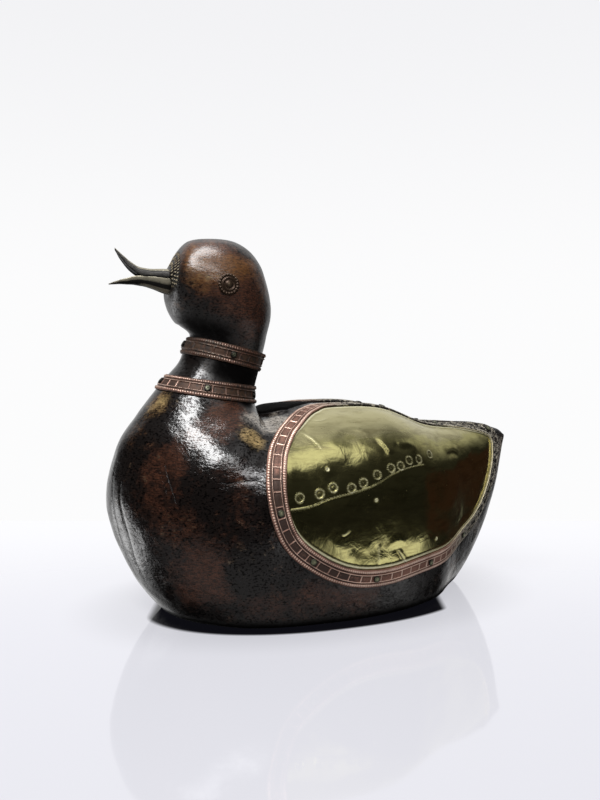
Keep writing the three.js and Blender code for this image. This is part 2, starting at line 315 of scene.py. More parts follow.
def operatorPair(operation):
    # an operator on amounts and its reflected form: each adds one Math node
    def forward(self, other):
        return self.finish.reckon(operation, self, other)

    def reflected(self, other):
        return self.finish.reckon(operation, other, self)

    return forward, reflected


class Amount:
    # a value or colour in a material; + - * and ** on it add Math nodes, also in 1 - mask
    __add__, __radd__ = operatorPair("ADD")
    __sub__, __rsub__ = operatorPair("SUBTRACT")
    __mul__, __rmul__ = operatorPair("MULTIPLY")
    __pow__, __rpow__ = operatorPair("POWER")

    def __init__(self, finish, socket):
        self.finish = finish
        self.socket = socket

    def sway(self, strength):
        # a pattern of 0 to 1 as a change either way
        return (self - 0.5) * strength


class Finish:
    # one material or world: add() makes any node, the other methods name common ones
    def __init__(self, name, owner=None):
        self.owner = owner = owner or bpy.data.materials.new(name)
        owner.use_nodes = True
        self.tree = owner.node_tree
        self.tree.nodes.clear()

    def add(self, kind, settings, inputs, output=0):
        node = self.tree.nodes.new("ShaderNode" + kind)
        for key, value in settings.items():
            setattr(node, key, value)
        for key, value in inputs.items():
            if isinstance(value, Amount):
                self.tree.links.new(value.socket, node.inputs[key])
            elif isinstance(value, tuple) and node.inputs[key].type == "RGBA":
                node.inputs[key].default_value = (*value, 1)
            else:
                node.inputs[key].default_value = value
        return Amount(self, node.outputs[output]) if node.outputs else None

    def place(self):
        return self.add("TexCoord", {}, {}, "Object")

    def stretched(self, x, y, z):
        return self.add("VectorMath", {"operation": "MULTIPLY"}, {0: self.place(), 1: (x, y, z)})

    def toward(self, way, direction):
        # how far a vector goes in a direction
        return self.add("VectorMath", {"operation": "DOT_PRODUCT"},
                        {0: way, 1: tuple(direction)}, "Value")

    def field(self, name):
        return self.add("Attribute", {"attribute_name": name}, {}, "Fac")

    def noise(self, size, detail=2.0, rough=0.5, bend=0.0, at=None):
        # size of the pattern in millimetres
        return self.add("TexNoise", {}, {
            "Vector": at or self.place(), "Scale": 1000 / size, "Detail": detail,
            "Roughness": rough, "Distortion": bend}, "Fac")

    def cells(self, size):
        return self.add("TexVoronoi", {}, {
            "Vector": self.place(), "Scale": 1000 / size}, "Distance")

    def step(self, value, low, high):
        # smooth step from 0 at low to 1 at high
        return self.add("MapRange", {"interpolation_type": "SMOOTHSTEP"}, {
            "Value": value, "From Min": low, "From Max": high})

    def reckon(self, operation, *values):
        return self.add("Math", {"operation": operation}, dict(enumerate(values)))

    def most(self, a, b):
        return self.reckon("MAXIMUM", a, b)

    def size(self, value):
        return self.reckon("ABSOLUTE", value)

    def blend(self, factor, a, b):
        return self.add("Mix", {"data_type": "RGBA", "clamp_factor": True},
                        {0: factor, 6: a, 7: b}, 2)

    def relief(self, height):
        # height in millimetres
        return self.add("Bump", {}, {"Height": height, "Strength": 1.0, "Distance": 0.001})

    def surface(self, **inputs):
        named = {key.replace("_", " "): value for key, value in inputs.items()}
        shader = self.add("BsdfPrincipled", {}, named)
        self.add("OutputMaterial", {}, {"Surface": shader})
        return self.owner


# finishes

# the near-black named for shade serves the pores and the painted shade where the wood lies in shade
woodLook = {
    "black": (0.0050, 0.0038, 0.0034), "red": (0.052, 0.0195, 0.0105),
    "amber": (0.085, 0.036, 0.011), "ochre": (0.27, 0.19, 0.085), "dustAndSheen": (0.24, 0.215, 0.185),
    "ridgeHighlight": (0.32, 0.27, 0.18), "shadeBlack": (0.005, 0.0045, 0.0045), "cut": (0.002, 0.0015, 0.001),
    "crack": (0.001, 0.0008, 0.0006), "polished": 0.16, "matt": 0.32, "swell": 0.3,
    "wrinkles": 0.075, "grain": 0.06, "peel": 0.08, "crackDepth": 0.4,
}


def stainedWood():
    look = woodLook
    f = Finish("stained_wood")
    along = f.stretched(1, 1, 1.7)  # grain runs level round the form
    cloud = f.noise(22, 4, 0.62, 0.5)
    spots = f.noise(5, 3, 0.65, 0.4)
    mottle = f.noise(2.6, 3, 0.7, 0, along)
    wrinkles = f.noise(3.0, 3, 0.62, 0.3, along)
    fibres = f.noise(4.5, 4, 0.68, 0.3, f.stretched(1, 1, 8))
    hairs = f.noise(2.2, 3, 0.6, 0, f.stretched(1, 1, 5))
    bare = f.step(f.field("worn") + cloud.sway(2.0) + spots.sway(1.3) + mottle.sway(1.6), 0.2, 1.1)
    colour = f.blend(bare, look["black"], look["red"])
    colour = f.blend(f.step(mottle + fibres.sway(0.5), 0.44, 0.66) * 0.7, colour, look["black"])
    warm = f.field("amber") + cloud.sway(1.2) + spots.sway(0.8) + mottle.sway(0.8)
    warm = f.step(warm, 0.3, 1.2)
    colour = f.blend(warm, colour, look["amber"])
    pale = cloud.sway(0.9) + spots.sway(1.3) + fibres.sway(0.8) + mottle.sway(0.7)
    # pale grey-brown: dust, and painted sheen where the back and the tail's side catch the light
    colour = f.blend(f.step(f.field("dustAndSheen") + pale, 0.25, 1.1), colour, look["dustAndSheen"])
    colour = f.blend(f.step(f.field("ochre") + pale, 0.2, 1.2), colour, look["ochre"])
    colour = f.blend(f.step(fibres, 0.46, 0.62) * 0.6, colour, look["black"])
    colour = f.blend(f.step(hairs, 0.5, 0.62) * 0.5, colour, look["black"])
    pits = f.step(f.noise(1.8, 2, 0.5, 0, along) + cloud.sway(0.12), 0.53, 0.62) * 0.8
    pits = pits * (1 - f.most(bare, warm) * 0.75)
    colour = f.blend(pits * 0.6, colour, look["shadeBlack"])
    cuts = f.field("cuts")  # -1 in a cut, 1 on the ridge beside it
    # painted highlight on the ridges beside the cuts round the beak root, painted shade down in the
    # cuts
    colour = f.blend(f.step(cuts + spots.sway(0.6), 0.3, 0.9), colour, look["ridgeHighlight"])
    colour = f.blend(f.step(cuts, -0.2, -0.7), colour, look["cut"])
    split = f.size(f.field("crack") + f.noise(2.5, 3, 0.7).sway(2.5))
    crack = f.step(split, 0.8, 0.35) * f.step(f.field("crackReach"), 0.1, 0.5)
    colour = f.blend(crack, colour, look["crack"])
    # painted shade: near-black, metallic and rough where the wood lies in shade
    shadeBlack = f.step(f.field("shadeBlack") + spots.sway(0.3), 0.1, 0.8)
    colour = f.blend(shadeBlack, colour, look["shadeBlack"])
    dry = f.step(f.noise(16, 3, 0.6) + spots.sway(0.6) + f.field("dry"), 0.42, 0.75)
    rough = look["polished"] + dry * (look["matt"] - look["polished"]) + crack * 0.3 + shadeBlack * 0.85
    rough = rough + f.most(f.field("dry") - 0.3, 0) * 0.3
    height = (f.noise(8, 3, 0.55, 0.4, along) * look["swell"] + wrinkles * look["wrinkles"]
              + fibres * look["grain"] + f.noise(1.7, 1) * look["peel"]
              - crack * look["crackDepth"])
    # black metal in the pits and under the painted shade: it hardly shines
    return f.surface(Base_Color=colour, Metallic=f.most(shadeBlack, pits), Roughness=rough, IOR=1.52,
                     Normal=f.relief(height))


brassLook = {
    "bright": (0.66, 0.61, 0.26), "dull": (0.40, 0.355, 0.13), "pale": (0.60, 0.55, 0.30),
    "scuffAndHighlight": (0.56, 0.54, 0.40), "brown": (0.24, 0.195, 0.075), "spot": (0.07, 0.05, 0.02),
    "dirtAndShade": (0.03, 0.026, 0.012), "roughness": 0.09, "dents": 0.2, "grit": 0.03,
}


def sheetBrass():
    look = brassLook
    f = Finish("sheet_brass")
    cloud = f.noise(24, 4, 0.6, 0.5)
    speck = f.noise(1.6, 3, 0.6)
    streak = f.noise(7, 4, 0.62, 0.6, f.stretched(0.6, 0.35, 1.6))
    stain = f.step(cloud + speck.sway(0.35), 0.46, 0.7)
    colour = f.blend(stain * 0.5, look["bright"], look["dull"])
    # painted reflection of the pale ceiling: paler and rougher where the sheet faces up
    pale = f.step(f.field("top") + streak.sway(1.1), 0.35, 0.85)
    colour = f.blend(pale, colour, look["pale"])
    colour = f.blend(f.step(streak, 0.47, 0.68) * 0.4, colour, look["brown"])
    inward = f.field("edge") + speck.sway(0.4)
    colour = f.blend(f.step(inward, 0.4, 0.1) * 0.55, colour, look["dull"])
    spots = f.step(f.cells(7), 0.1, 0.03) * f.step(f.noise(30), 0.5, 0.6)
    colour = f.blend(spots * 0.7, colour, look["spot"])
    # dirt with painted shade in grooves and next to the copper; scuffs with painted highlight on rims
    # and ridges
    dirtAndShade = f.field("dirtAndShade")
    colour = f.blend(dirtAndShade * 0.9, colour, look["dirtAndShade"])
    scuffAndHighlight = f.field("scuffAndHighlight") * (0.75 + 0.5 * speck)
    colour = f.blend(scuffAndHighlight, colour, look["scuffAndHighlight"])
    rough = (look["roughness"] + stain * 0.06 + pale * 0.16 + f.noise(4, 4, 0.7) * 0.07
             + spots * 0.3 + scuffAndHighlight * 0.25 + dirtAndShade * 0.3)
    height = (f.noise(9, 3, 0.55, 0.8) * look["dents"] + f.noise(3.5, 2) * look["grit"]
              + speck * 0.006 + streak * pale * 0.12)
    return f.surface(Base_Color=colour, Metallic=1 - scuffAndHighlight * 0.7, Roughness=rough,
                     Normal=f.relief(height))


copperLook = {
    "bright": (0.60, 0.43, 0.345), "brown": (0.23, 0.115, 0.082), "dark": (0.045, 0.027, 0.021),
    "grimeAndShade": (0.045, 0.015, 0.007), "olive": (0.045, 0.040, 0.024),
    "oldDark": (0.012, 0.010, 0.009), "oldPale": (0.36, 0.33, 0.265), "lip": (0.58, 0.52, 0.35),
    "roughness": 0.3, "grit": 0.08,
}


def embossedCopper():
    look = copperLook
    f = Finish("embossed_copper")
    # rubbed wear, and painted light on the wing strip's bottom run, lift the colour towards the rails'
    rise = f.field("rise") + f.field("rubbedAndLit")  # 0 in the cells, 1 on the rails
    speck = f.noise(1.1, 3, 0.65)
    grit = f.noise(2.8, 2, 0.6)
    cloud = f.noise(14, 3, 0.6)
    # grime and painted shade: dark where the strip lies in the head's shade
    grimeAndShade = f.field("grimeAndShade")
    level = rise + speck.sway(0.6) + cloud.sway(0.4) - grimeAndShade * 0.3
    colour = f.blend(f.step(level, 0.1, 0.45), look["dark"], look["brown"])
    colour = f.blend(f.step(level, 0.6, 0.95), colour, look["bright"])
    aged = f.step(grit + rise.sway(0.16), 0.46, 0.58)
    # grey with age, and painted shade where the upper neck strip passes under the chin
    colour = f.blend(f.field("oldAndShade"), colour, f.blend(aged, look["oldDark"], look["oldPale"]))
    # painted shade and grime: darker down in the cells than on the rails
    sunk = 1.25 - f.step(level, 0.3, 0.8) * 0.7
    colour = f.blend(grimeAndShade * sunk * (0.6 + 0.8 * cloud), colour, look["grimeAndShade"])
    colour = f.blend((1 - f.step(level, 0.0, 0.4)) * grimeAndShade * 0.35, colour, look["olive"])
    colour = f.blend(f.step(grit, 0.48, 0.62) * grimeAndShade * 0.85, colour, look["oldDark"])
    # painted highlight: a pale line along one raised edge of the strip on the back
    colour = f.blend(f.field("lip"), colour, look["lip"])
    rough = look["roughness"] + (1 - f.step(level, 0.3, 0.9)) * 0.25 + speck * 0.12
    return f.surface(Base_Color=colour, Metallic=0.5, Roughness=rough,
                     Normal=f.relief(speck * look["grit"]))


# nail heads: painted shadow at the foot, painted highlight on the crown
nailLook = {"foot": (0.012, 0.010, 0.008), "side": (0.13, 0.135, 0.09),
            "crown": (0.34, 0.34, 0.21), "roughness": 0.32, "grit": 0.12}


def nailBrass():
    look = nailLook
    f = Finish("nail_brass")
    speck = f.noise(0.9, 3, 0.6)
    top = f.field("top") + speck.sway(0.4)  # 1 on the crown, 0 at the foot
    colour = f.blend(f.step(top, 0.3, 0.62), look["foot"], look["side"])
    colour = f.blend(f.step(top, 0.75, 1.0), colour, look["crown"])
    return f.surface(Base_Color=colour, Metallic=0.8, Roughness=look["roughness"] + speck * 0.25,
                     Normal=f.relief(speck * look["grit"]))


# the beak is black and the eyes are brown: the field "brown" says which; both are paler on
# raised edges and crests, rubbed there and with painted highlight and painted reflection
metalLook = {"black": (0.010, 0.009, 0.008), "blackRubbedAndLit": (0.22, 0.20, 0.15),
             "brown": (0.028, 0.015, 0.008), "brownRubbedAndLit": (0.095, 0.068, 0.04),
             "roughness": 0.3, "dents": 0.15, "grit": 0.08}


def blackenedMetal():
    look = metalLook
    f = Finish("blackened_metal")
    speck = f.noise(0.8, 3, 0.65)
    cloud = f.noise(6, 3, 0.6, 0.3)
    edge = f.field("edge") + cloud.sway(0.5) + speck.sway(0.4)
    body = f.blend(f.field("brown"), look["black"], look["brown"])
    rubbedAndLit = f.blend(f.field("brown"), look["blackRubbedAndLit"], look["brownRubbedAndLit"])
    # paler on the edges: rubbed wear and painted highlight
    colour = f.blend(f.step(edge, 0.45, 0.9), body, rubbedAndLit)
    rough = look["roughness"] + cloud * 0.2 + speck * 0.1
    return f.surface(Base_Color=colour, Metallic=0.7, Roughness=rough,
                     Normal=f.relief(cloud * look["dents"] + speck * look["grit"]))


woodFinish = stainedWood()
sheetFinish = sheetBrass()
copperFinish = embossedCopper()
nailFinish = nailBrass()
metalFinish = blackenedMetal()
print("finishes made")

# the carved wood

carving = {
    "bodyRows": 236, "bodyColumns": 330, "headRows": 250, "headColumns": 290,
    "waves": 0.32, "waveSize": 21, "ripples": 0.16, "rippleSize": 6, "sunk": 0.4, "shrink": 0.1,
    "crackRound": 1.3, "cutDepth": 0.25, "baseRounding": 3.0, "ridge": 1.3, "lip": 1.6,
    "ridgeRun": (5.9, 6.3, 8.6, 9.2),
}
# cracks: width and depth in millimetres, and the places they pass as station and angle
cracks = [
    (0.5, 0.35, [(10.6, 2.68), (10.21, 2.669), (9.76, 2.674), (9.38, 2.749), (8.95, 2.829)]),
    (0.45, 0.3, [(10.9, 2.95), (10.3, 2.87), (9.9, 2.86), (9.5, 2.93), (8.9, 3.02)]),
    (0.4, 0.25, [(10.6, 2.03), (10.46, 2.007), (10.12, 1.954), (9.66, 1.944)]),
    (0.4, 0.3, [(9.6, 1.47), (9.44, 1.411), (9.15, 1.267), (8.71, 1.158), (8.3, 1.14)]),
    (0.45, 0.3, [(8.6, -1.9), (9.2, -1.75), (9.9, -1.8), (10.6, -1.72)]),
    (0.45, 0.3, [(9.0, -2.6), (9.6, -2.5), (10.3, -2.56)]),
]
# what shows in patches: station, angle, radius in millimetres and strength
patches = {
    "worn": [
        (10.6, 1.95, 16, 0.9), (9.9, 2.1, 24, 0.6), (8.84, 2.01, 20, 0.8), (8.35, 2.15, 18, 0.8),
        (8.05, 1.86, 12, -1.1), (7.5, 2.1, 12, 0.5), (8.6, 2.36, 10, 0.8), (6.9, 1.98, 17, 0.7),
        (6.34, 1.93, 15, 0.7), (11.24, 1.39, 15, 1.1), (11.9, 1.2, 12, 1.0), (8.61, 1.52, 16, 0.4),
        (9.4, 1.3, 12, 0.5), (5.8, 2.0, 14, 0.8), (17.8, 1.0, 20, 1.0), (16.5, 1.3, 15, 0.7),
        (19.6, 1.0, 18, 1.0), (18.8, 1.6, 20, 0.9), (14.2, 1.6, 10, 0.5), (10.4, -1.7, 24, 0.8),
        (8.1, -2.0, 26, 0.8), (6.2, -2.0, 20, 0.6), (17.6, -1.4, 22, 0.8), (12.0, -1.2, 14, 0.6),
        (3.0, 2.3, 16, 0.6), (3.2, -2.3, 18, 0.5), (19.6, -1.2, 18, 0.8),
    ],
    "ochre": [
        (10.0, 0.9, 7, 1.2), (9.3, 0.8, 6, 1.0), (12.45, 2.55, 7, 0.6), (12.3, 2.75, 9, 0.5),
        (19.74, 1.72, 7, 0.3), (19.24, 1.8, 8, 0.2), (18.86, 1.6, 8, 0.2), (19.2, -1.7, 11, 0.4),
        (9.0, -0.8, 8, 0.5),
    ],
    "amber": [
        (19.3, 1.75, 13, 1.0), (18.7, 1.3, 12, 1.0), (18.2, 0.9, 13, 0.8), (19.9, 1.0, 14, 0.7),
        (17.4, 0.7, 13, 0.5), (12.4, 2.7, 12, 0.8), (11.4, 2.75, 14, 0.5), (12.1, 1.45, 12, 0.5),
        (10.2, 1.8, 14, 0.35), (7.2, 1.95, 16, 0.3), (19.2, -1.6, 14, 0.9), (17.8, -1.0, 12, 0.6),
    ],
    # dust, and painted sheen on the back behind the neck and along the tail's side
    "dustAndSheen": [
        (8.76, 0.446, 10, 1.0), (7.66, 0.38, 11, 1.1), (10.9, 0.87, 6, 0.6), (7.2, 0.5, 10, 0.8),
        (9.3, 0.5, 8, 0.6), (8.8, -0.5, 12, 0.6), (0.5, 1.57, 13, 1.0), (1.2, 1.85, 10, 0.9),
        (2.1, 2.15, 11, 0.8), (3.1, 2.35, 12, 0.7), (4.1, 2.45, 10, 0.4),
    ],
    # painted shade: the neck between the strips and the throat, in the head's shade
    "shadeBlack": [
        (14.0, 1.1, 13, 0.65), (14.05, 1.75, 13, 0.6), (14.0, 0.3, 14, 0.7), (12.55, 0.9, 7, 0.9),
        (16.0, 2.0, 14, 0.6), (14.0, -1.2, 18, 0.6), (17.4, 2.55, 15, 0.25), (18.7, 2.55, 11, 0.1),
        (16.4, 2.75, 14, 0.35),
    ],
}
# the back ridge in painted shade: how far down from the back line it reaches, by station
ridgeEdge = [(5.9, -0.05), (6.08, 0.01), (6.45, 0.13), (6.9, 0.25), (7.44, 0.225), (8.38, 0.11),
             (8.9, 0.0)]
# cuts round the root of the beak: rings from a start distance, strokes in the first ring
# and how many more in each next one
beakMarks = {"root": (0, -113, 226.0), "start": 9, "length": 3.9, "first": 26, "more": 11}


def patchField(places, rows):
    # sum of soft round patches on the surface
    total = np.zeros(places.shape[:-1])
    for station, angle, radius, amount in rows:
        total += amount * bell(awayFrom(places, station, angle), radius)
    return total


def beakCuts(places):
    # short strokes that fan out from the root of the beak in three staggered rings: cosine
    # stripes round the beak times a pulse along it
    gap = places - np.array(beakMarks["root"])
    turn = np.arctan2(gap[..., 2], gap[..., 0])
    away = np.linalg.norm(gap, axis=-1)
    rows = (away - beakMarks["start"]) / beakMarks["length"]
    ring = np.floor(rows)
    count = beakMarks["first"] + beakMarks["more"] * ring
    stripes = np.cos(turn * count + ring * 2.1 + 0.7 * np.sin(away * 1.3))
    inside = between(rows - ring, 0.02, 0.22, 0.8, 1)
    reach = between(rows, -0.05, 0.1, 2.6, 3) * ramp(gap[..., 2], -9, -3)
    return (stripes * inside - 0.6 * (1 - inside)) * reach


def carvedSurface(fromStation, toStation, rows, columns):
    # the loft, moved along its normal by waves, ripples, cracks and cut marks
    station = np.linspace(fromStation, toStation, rows)[:, None] + np.zeros(columns)
    angle = np.linspace(0, 2 * np.pi, columns, endpoint=False) + np.zeros((rows, 1))
    signed = np.where(angle > np.pi, angle - 2 * np.pi, angle)
    places = woodPoint(station, angle)
    inset = 0.004  # the ends of the loft are points, so normals are taken just short of them
    normals = woodNormal(np.clip(station, inset, len(stations) - 1 - inset), angle)
    waves = unevenness(places, carving["waveSize"], 3) - carving["sunk"]
    ripples = unevenness(places * (1, 0.6, 1), carving["rippleSize"], 5) - carving["sunk"]
    lift = -carving["shrink"] + carving["waves"] * waves
    lift += carving["ripples"] * ripples
    crack = np.full(station.shape, 4.0)
    reach = np.zeros(station.shape)
    for k, (wide, deep, path) in enumerate(cracks):
        line = pathOnWood(path)
        line += 0.5 * np.stack([unevenness(line, 5, 20 + 3 * k + n) for n in range(3)], -1)
        distance, strength = nearPath(places, normals, line, 0.25)
        strength = strength * ramp(np.abs(distance), 3.8, 3)
        lift -= deep * strength * bell(distance, carving["crackRound"])
        nearer = strength > reach
        crack = np.where(nearer, distance / wide, crack)
        reach = np.where(nearer, strength, reach)
    cuts = beakCuts(places)
    lift += carving["cutDepth"] * cuts
    ridge = np.interp(station, *np.transpose(ridgeEdge)) - np.abs(signed)
    inRun = between(station, *carving["ridgeRun"])
    lift += (carving["ridge"] * ramp(ridge, -0.01, 0.03)
             - carving["lip"] * between(ridge, -0.6, -0.2, -0.05, 0)) * inRun
    places = places + normals * lift[..., None]
    low = places[..., 2]  # the flat base: soft maximum of height and 0
    soft = carving["baseRounding"]
    mix = np.clip(0.5 + 0.5 * low / soft, 0, 1)
    places[..., 2] = low * mix + soft * mix * (1 - mix)
    high = places[..., 2]
    fields = {key: patchField(places, rows) for key, rows in patches.items()}
    # painted shade on the far side of the back ridge, and darker towards the base
    fields["shadeBlack"] += 1.2 * ramp(ridge, -0.015, 0.015) * inRun + 0.9 * ramp(high, 10, -2)
    fields["dry"] = 0.1 * ramp(high, 60, 25) - 0.3 * ramp(high, 60, 100) + 0.6 * ramp(station, 14, 16)
    return places, {"crack": crack, "crackReach": reach, "cuts": cuts, **fields}


def woodPiece(name, fromStation, toStation, rows, columns):
    places, fields = carvedSurface(fromStation, toStation, rows, columns)
    fields = {key: (values, (values[0, 0], values[-1, 0])) for key, values in fields.items()}
    return makeTube(name, places, [places[0].mean(0), places[-1].mean(0)], woodFinish,
                    ["carved_duck"], fields)


neckJoin = 13  # the station under the lower strip, where body and head pieces meet
woodPiece("carved_body", 0, neckJoin, carving["bodyRows"], carving["bodyColumns"])
woodPiece("carved_head", neckJoin, len(stations) - 1, carving["headRows"], carving["headColumns"])
print("wood carved")

# brass sheets

# waves: height and size in millimetres; corner: where the grid's first corner is on the strip
sheet = {
    "lift": 1.0, "thick": 0.6, "inset": 4.4, "across": 301, "up": 216, "coarser": 5, "corner": 11,
    "centre": (4.6, math.radians(62)), "waves": [(0.55, 24), (0.24, 10), (0.045, 4.5)],
    "rim": 0.4, "rimAt": 2.6, "ringRadius": 2.9, "ringHeight": 0.3, "ringDepth": 0.26,
    "lineHeight": 0.12, "lineDepth": 0.3, "pitDepth": 0.4,
}
ringPlaces = [
    (7.07, 1.245), (6.64, 1.235), (6.39, 1.205), (6.06, 1.230), (5.84, 1.206), (5.58, 1.166),
    (5.31, 1.131), (5.12, 1.123), (4.92, 1.076), (4.69, 1.058), (4.38, 0.974),
]
chasedLine = [
    (7.34, 1.331), (6.83, 1.319), (6.44, 1.279), (6.05, 1.267), (5.65, 1.243), (5.31, 1.183),
    (4.92, 1.140), (4.55, 1.094),
]
# creases: width and depth in millimetres, how much painted highlight and painted shade their two
# sides get, and the places they pass
creases = [
    (1.8, 0.2, 0.35, 0.3, [(5.59, 1.66), (5.58, 1.746), (5.57, 1.83)]),
    (1.8, 0.24, 0.3, 1.0, [(5.24, 1.74), (5.11, 1.827), (4.99, 1.885)]),
    (1.6, 0.2, 0.35, 0, [(6.94, 0.667), (6.70, 0.766), (6.52, 0.902)]),
    (1.3, 0.2, 0.35, 0.1, [(6.6, 0.53), (6.39, 0.549), (6.2, 0.52)]),
    (3.2, 0.5, 0.12, 0.25, [(3.9, 0.93), (3.6, 0.90), (3.35, 0.97)]),
    (2.8, 0.5, 0, 0.45, [(5.5, 0.8), (5.36, 0.92), (5.3, 1.02)]),
    (3.0, 0.5, 0, 0.35, [(5.15, 0.86), (5.0, 0.93), (4.7, 0.9)]),
    (3.2, 0.35, 0, 0.15, [(6.3, 0.75), (5.9, 0.7), (5.6, 0.74)]),
    (3.5, 0.24, 0, 0.1, [(5.4, 1.74), (5.2, 1.72), (5.04, 1.757)]),
    (0.8, 0.1, 0.5, 0, [(6.25, 1.56), (6.16, 1.561), (6.08, 1.53)]),
]
pits = [(6.48, 1.05), (4.25, 1.748), (5.62, 1.36)]


def squareRim(across, up):
    # point numbers round the edge of a grid, in order
    top = np.arange(across - 1)
    right = np.arange(up - 1) * across + across - 1
    bottom = (up - 1) * across + np.arange(across - 1, 0, -1)
    left = np.arange(up - 1, 0, -1) * across
    return np.concatenate([top, right, bottom, left])


def sheetGrid(across, up):
    # a square grid pulled out to the wing's outline: the edge of each square shell lies on
    # a smaller copy of the outline round the middle of the wing
    u, v = np.meshgrid(np.linspace(-1, 1, across), np.linspace(-1, 1, up))
    shell = np.maximum(np.abs(u), np.abs(v))
    safe = np.where(shell > 0, shell, 1)
    a, b = u / safe, v / safe
    near = 1 - 1e-9
    turn = np.where(b <= -near, (a + 1) / 2, np.where(a >= near, 1 + (b + 1) / 2,
                    np.where(b >= near, 2 + (1 - a) / 2, 3 + (1 - b) / 2)))
    wanted = (turn / 4 * wingPitches + sheet["corner"]) % wingPitches
    table = np.linspace(0, wingPitches, 1200)
    edgeStation, edgeAngle = besideLine(wingPath, table, np.array([-sheet["inset"], 0.0]))
    edgeStation, edgeAngle = edgeStation[:, 0], edgeAngle[:, 0]
    station, angle = np.interp(wanted, table, edgeStation), np.interp(wanted, table, edgeAngle)
    middle = sheet["centre"]
    places = woodPoint(edgeStation, edgeAngle)
    tangent = unit(np.roll(places, -2, 0) - np.roll(places, 2, 0))
    inward = np.cross(woodNormal(edgeStation, edgeAngle), tangent)
    depth = np.abs(np.sum((woodPoint(*np.array(middle)) - places) * inward, -1))
    fromEdge = (1 - shell) * np.interp(wanted, table, depth)
    return middle[0] + (station - middle[0]) * shell, middle[1] + (angle - middle[1]) * shell, fromEdge


def sheetLift(places, normals, fromEdge, seed):
    # waves of a beaten sheet, a raised rim, punched rings, a chased line, creases and pits; with how
    # much scuffing and painted highlight, and how much dirt and painted shade, each place gets
    lift = ramp(fromEdge, 3, 12) * sum(high * unevenness(places, size, seed + k)
                                       for k, (high, size) in enumerate(sheet["waves"]))
    fromRim = fromEdge - sheet["rimAt"]
    lift += sheet["rim"] * bell(fromRim, 0.8)
    # painted highlight along the raised rim, painted shade against the copper
    scuffAndHighlight = 0.95 * bell(fromRim, 0.6)
    dirtAndShade = 0.7 * ramp(fromEdge, 1.9, 1.2)
    for wide, deep, bright, dark, path in creases:
        distance, strength = nearPath(places, normals, pathOnWood(path, 10), 0.3)
        lift += deep * strength * (distance / wide) * bell(distance, wide) * 1.6
        # painted highlight on one side of each crease, painted shade on the other
        scuffAndHighlight += bright * strength * bell(distance - 0.5, 0.5)
        dirtAndShade += dark * strength * bell(distance + 0.4, 0.5)
    distance, strength = nearPath(places, normals, pathOnWood(chasedLine, 40), 0.02)
    lift += strength * (sheet["lineHeight"] * bell(np.abs(distance) - 0.8, 0.4)
                        - sheet["lineDepth"] * bell(distance, 0.42))
    # painted highlight down the chased line, painted shade beside it
    scuffAndHighlight += 0.6 * strength * bell(distance, 0.21)
    dirtAndShade += 0.5 * strength * bell(distance + 0.9, 0.5)
    for station, angle in ringPlaces:
        away = awayFrom(places, station, angle)
        fromRing = away - (sheet["ringRadius"] - 0.12 * (7 - station))
        lift += sheet["ringHeight"] * bell(fromRing, 0.42)
        lift -= sheet["ringDepth"] * bell(fromRing + 1.0, 0.5)
        # painted highlight on each ring's ridge, dirt and painted shade inside and round it
        scuffAndHighlight += 0.75 * bell(fromRing, 0.27) + 0.2 * bell(away, 0.4)
        dirtAndShade += 0.85 * bell(fromRing + 1.05, 0.7) + 0.6 * bell(fromRing - 0.8, 0.3)
    for station, angle in pits:
        away = awayFrom(places, station, angle)
        lift += 0.18 * bell(away - 1.1, 0.5) - sheet["pitDepth"] * bell(away, 0.7)
        # painted highlight round each pit's rim
        scuffAndHighlight += 0.9 * bell(away - 0.8, 0.5)
    return lift, np.clip(scuffAndHighlight, 0, 1), np.clip(dirtAndShade, 0, 1)


def wingSheet(side, sign, seed):
    # a fine grid for the face and a coarser one under it, their rims stitched together
    across, up, ratio = sheet["across"], sheet["up"], sheet["coarser"]
    station, angle, fromEdge = sheetGrid(across, up)
    flat, normals = woodPoint(station, angle), woodNormal(station, angle)
    relief, scuffAndHighlight, dirtAndShade = sheetLift(flat, normals, fromEdge, seed)
    top = flat + normals * (sheet["lift"] + sheet["thick"] + relief)[..., None]
    acrossLow, upLow = (across - 1) // ratio + 1, (up - 1) // ratio + 1
    station, angle, _ = sheetGrid(acrossLow, upLow)
    under = woodPoint(station, angle) + woodNormal(station, angle) * (sheet["lift"] * 0.5)
    count = across * up
    rim = squareRim(across, up)
    rimLow = squareRim(acrossLow, upLow) + count
    order = np.arange(len(rim))
    nearest = ((order + 0.5) / ratio + 0.5).astype(int) % len(rimLow)
    stitches = np.stack([rim, rimLow[nearest], rim[(order + 1) % len(rim)]], -1)
    lows = np.arange(len(rimLow))
    shared = rim[(lows * ratio + (ratio + 1) // 2) % len(rim)]
    fills = np.stack([rimLow, rimLow[(lows + 1) % len(rimLow)], shared], -1)
    places = np.vstack([top.reshape(-1, 3), under.reshape(-1, 3)])
    places[:, 0] *= sign
    # top: how far the sheet faces up, for the painted reflection of the ceiling
    fields = {"edge": np.minimum(fromEdge / 12, 1), "scuffAndHighlight": scuffAndHighlight, "dirtAndShade": dirtAndShade,
              "top": ramp(normals[..., 2], 0.3, 0.9)}
    fields = {key: np.append(values, np.zeros(under.size // 3)) for key, values in fields.items()}
    faceSets = [gridFaces(up, across)[:, ::-1], gridFaces(upLow, acrossLow, start=count),
                stitches, fills]
    return makePiece(side + "_wing_brass", places, faceSets, sheetFinish, [side + "_wing_sheet"],
                     fields)


wingSheet("left", 1, 31)
wingSheet("right", -1, 47)
print("brass sheets laid")

# copper strips and their nails

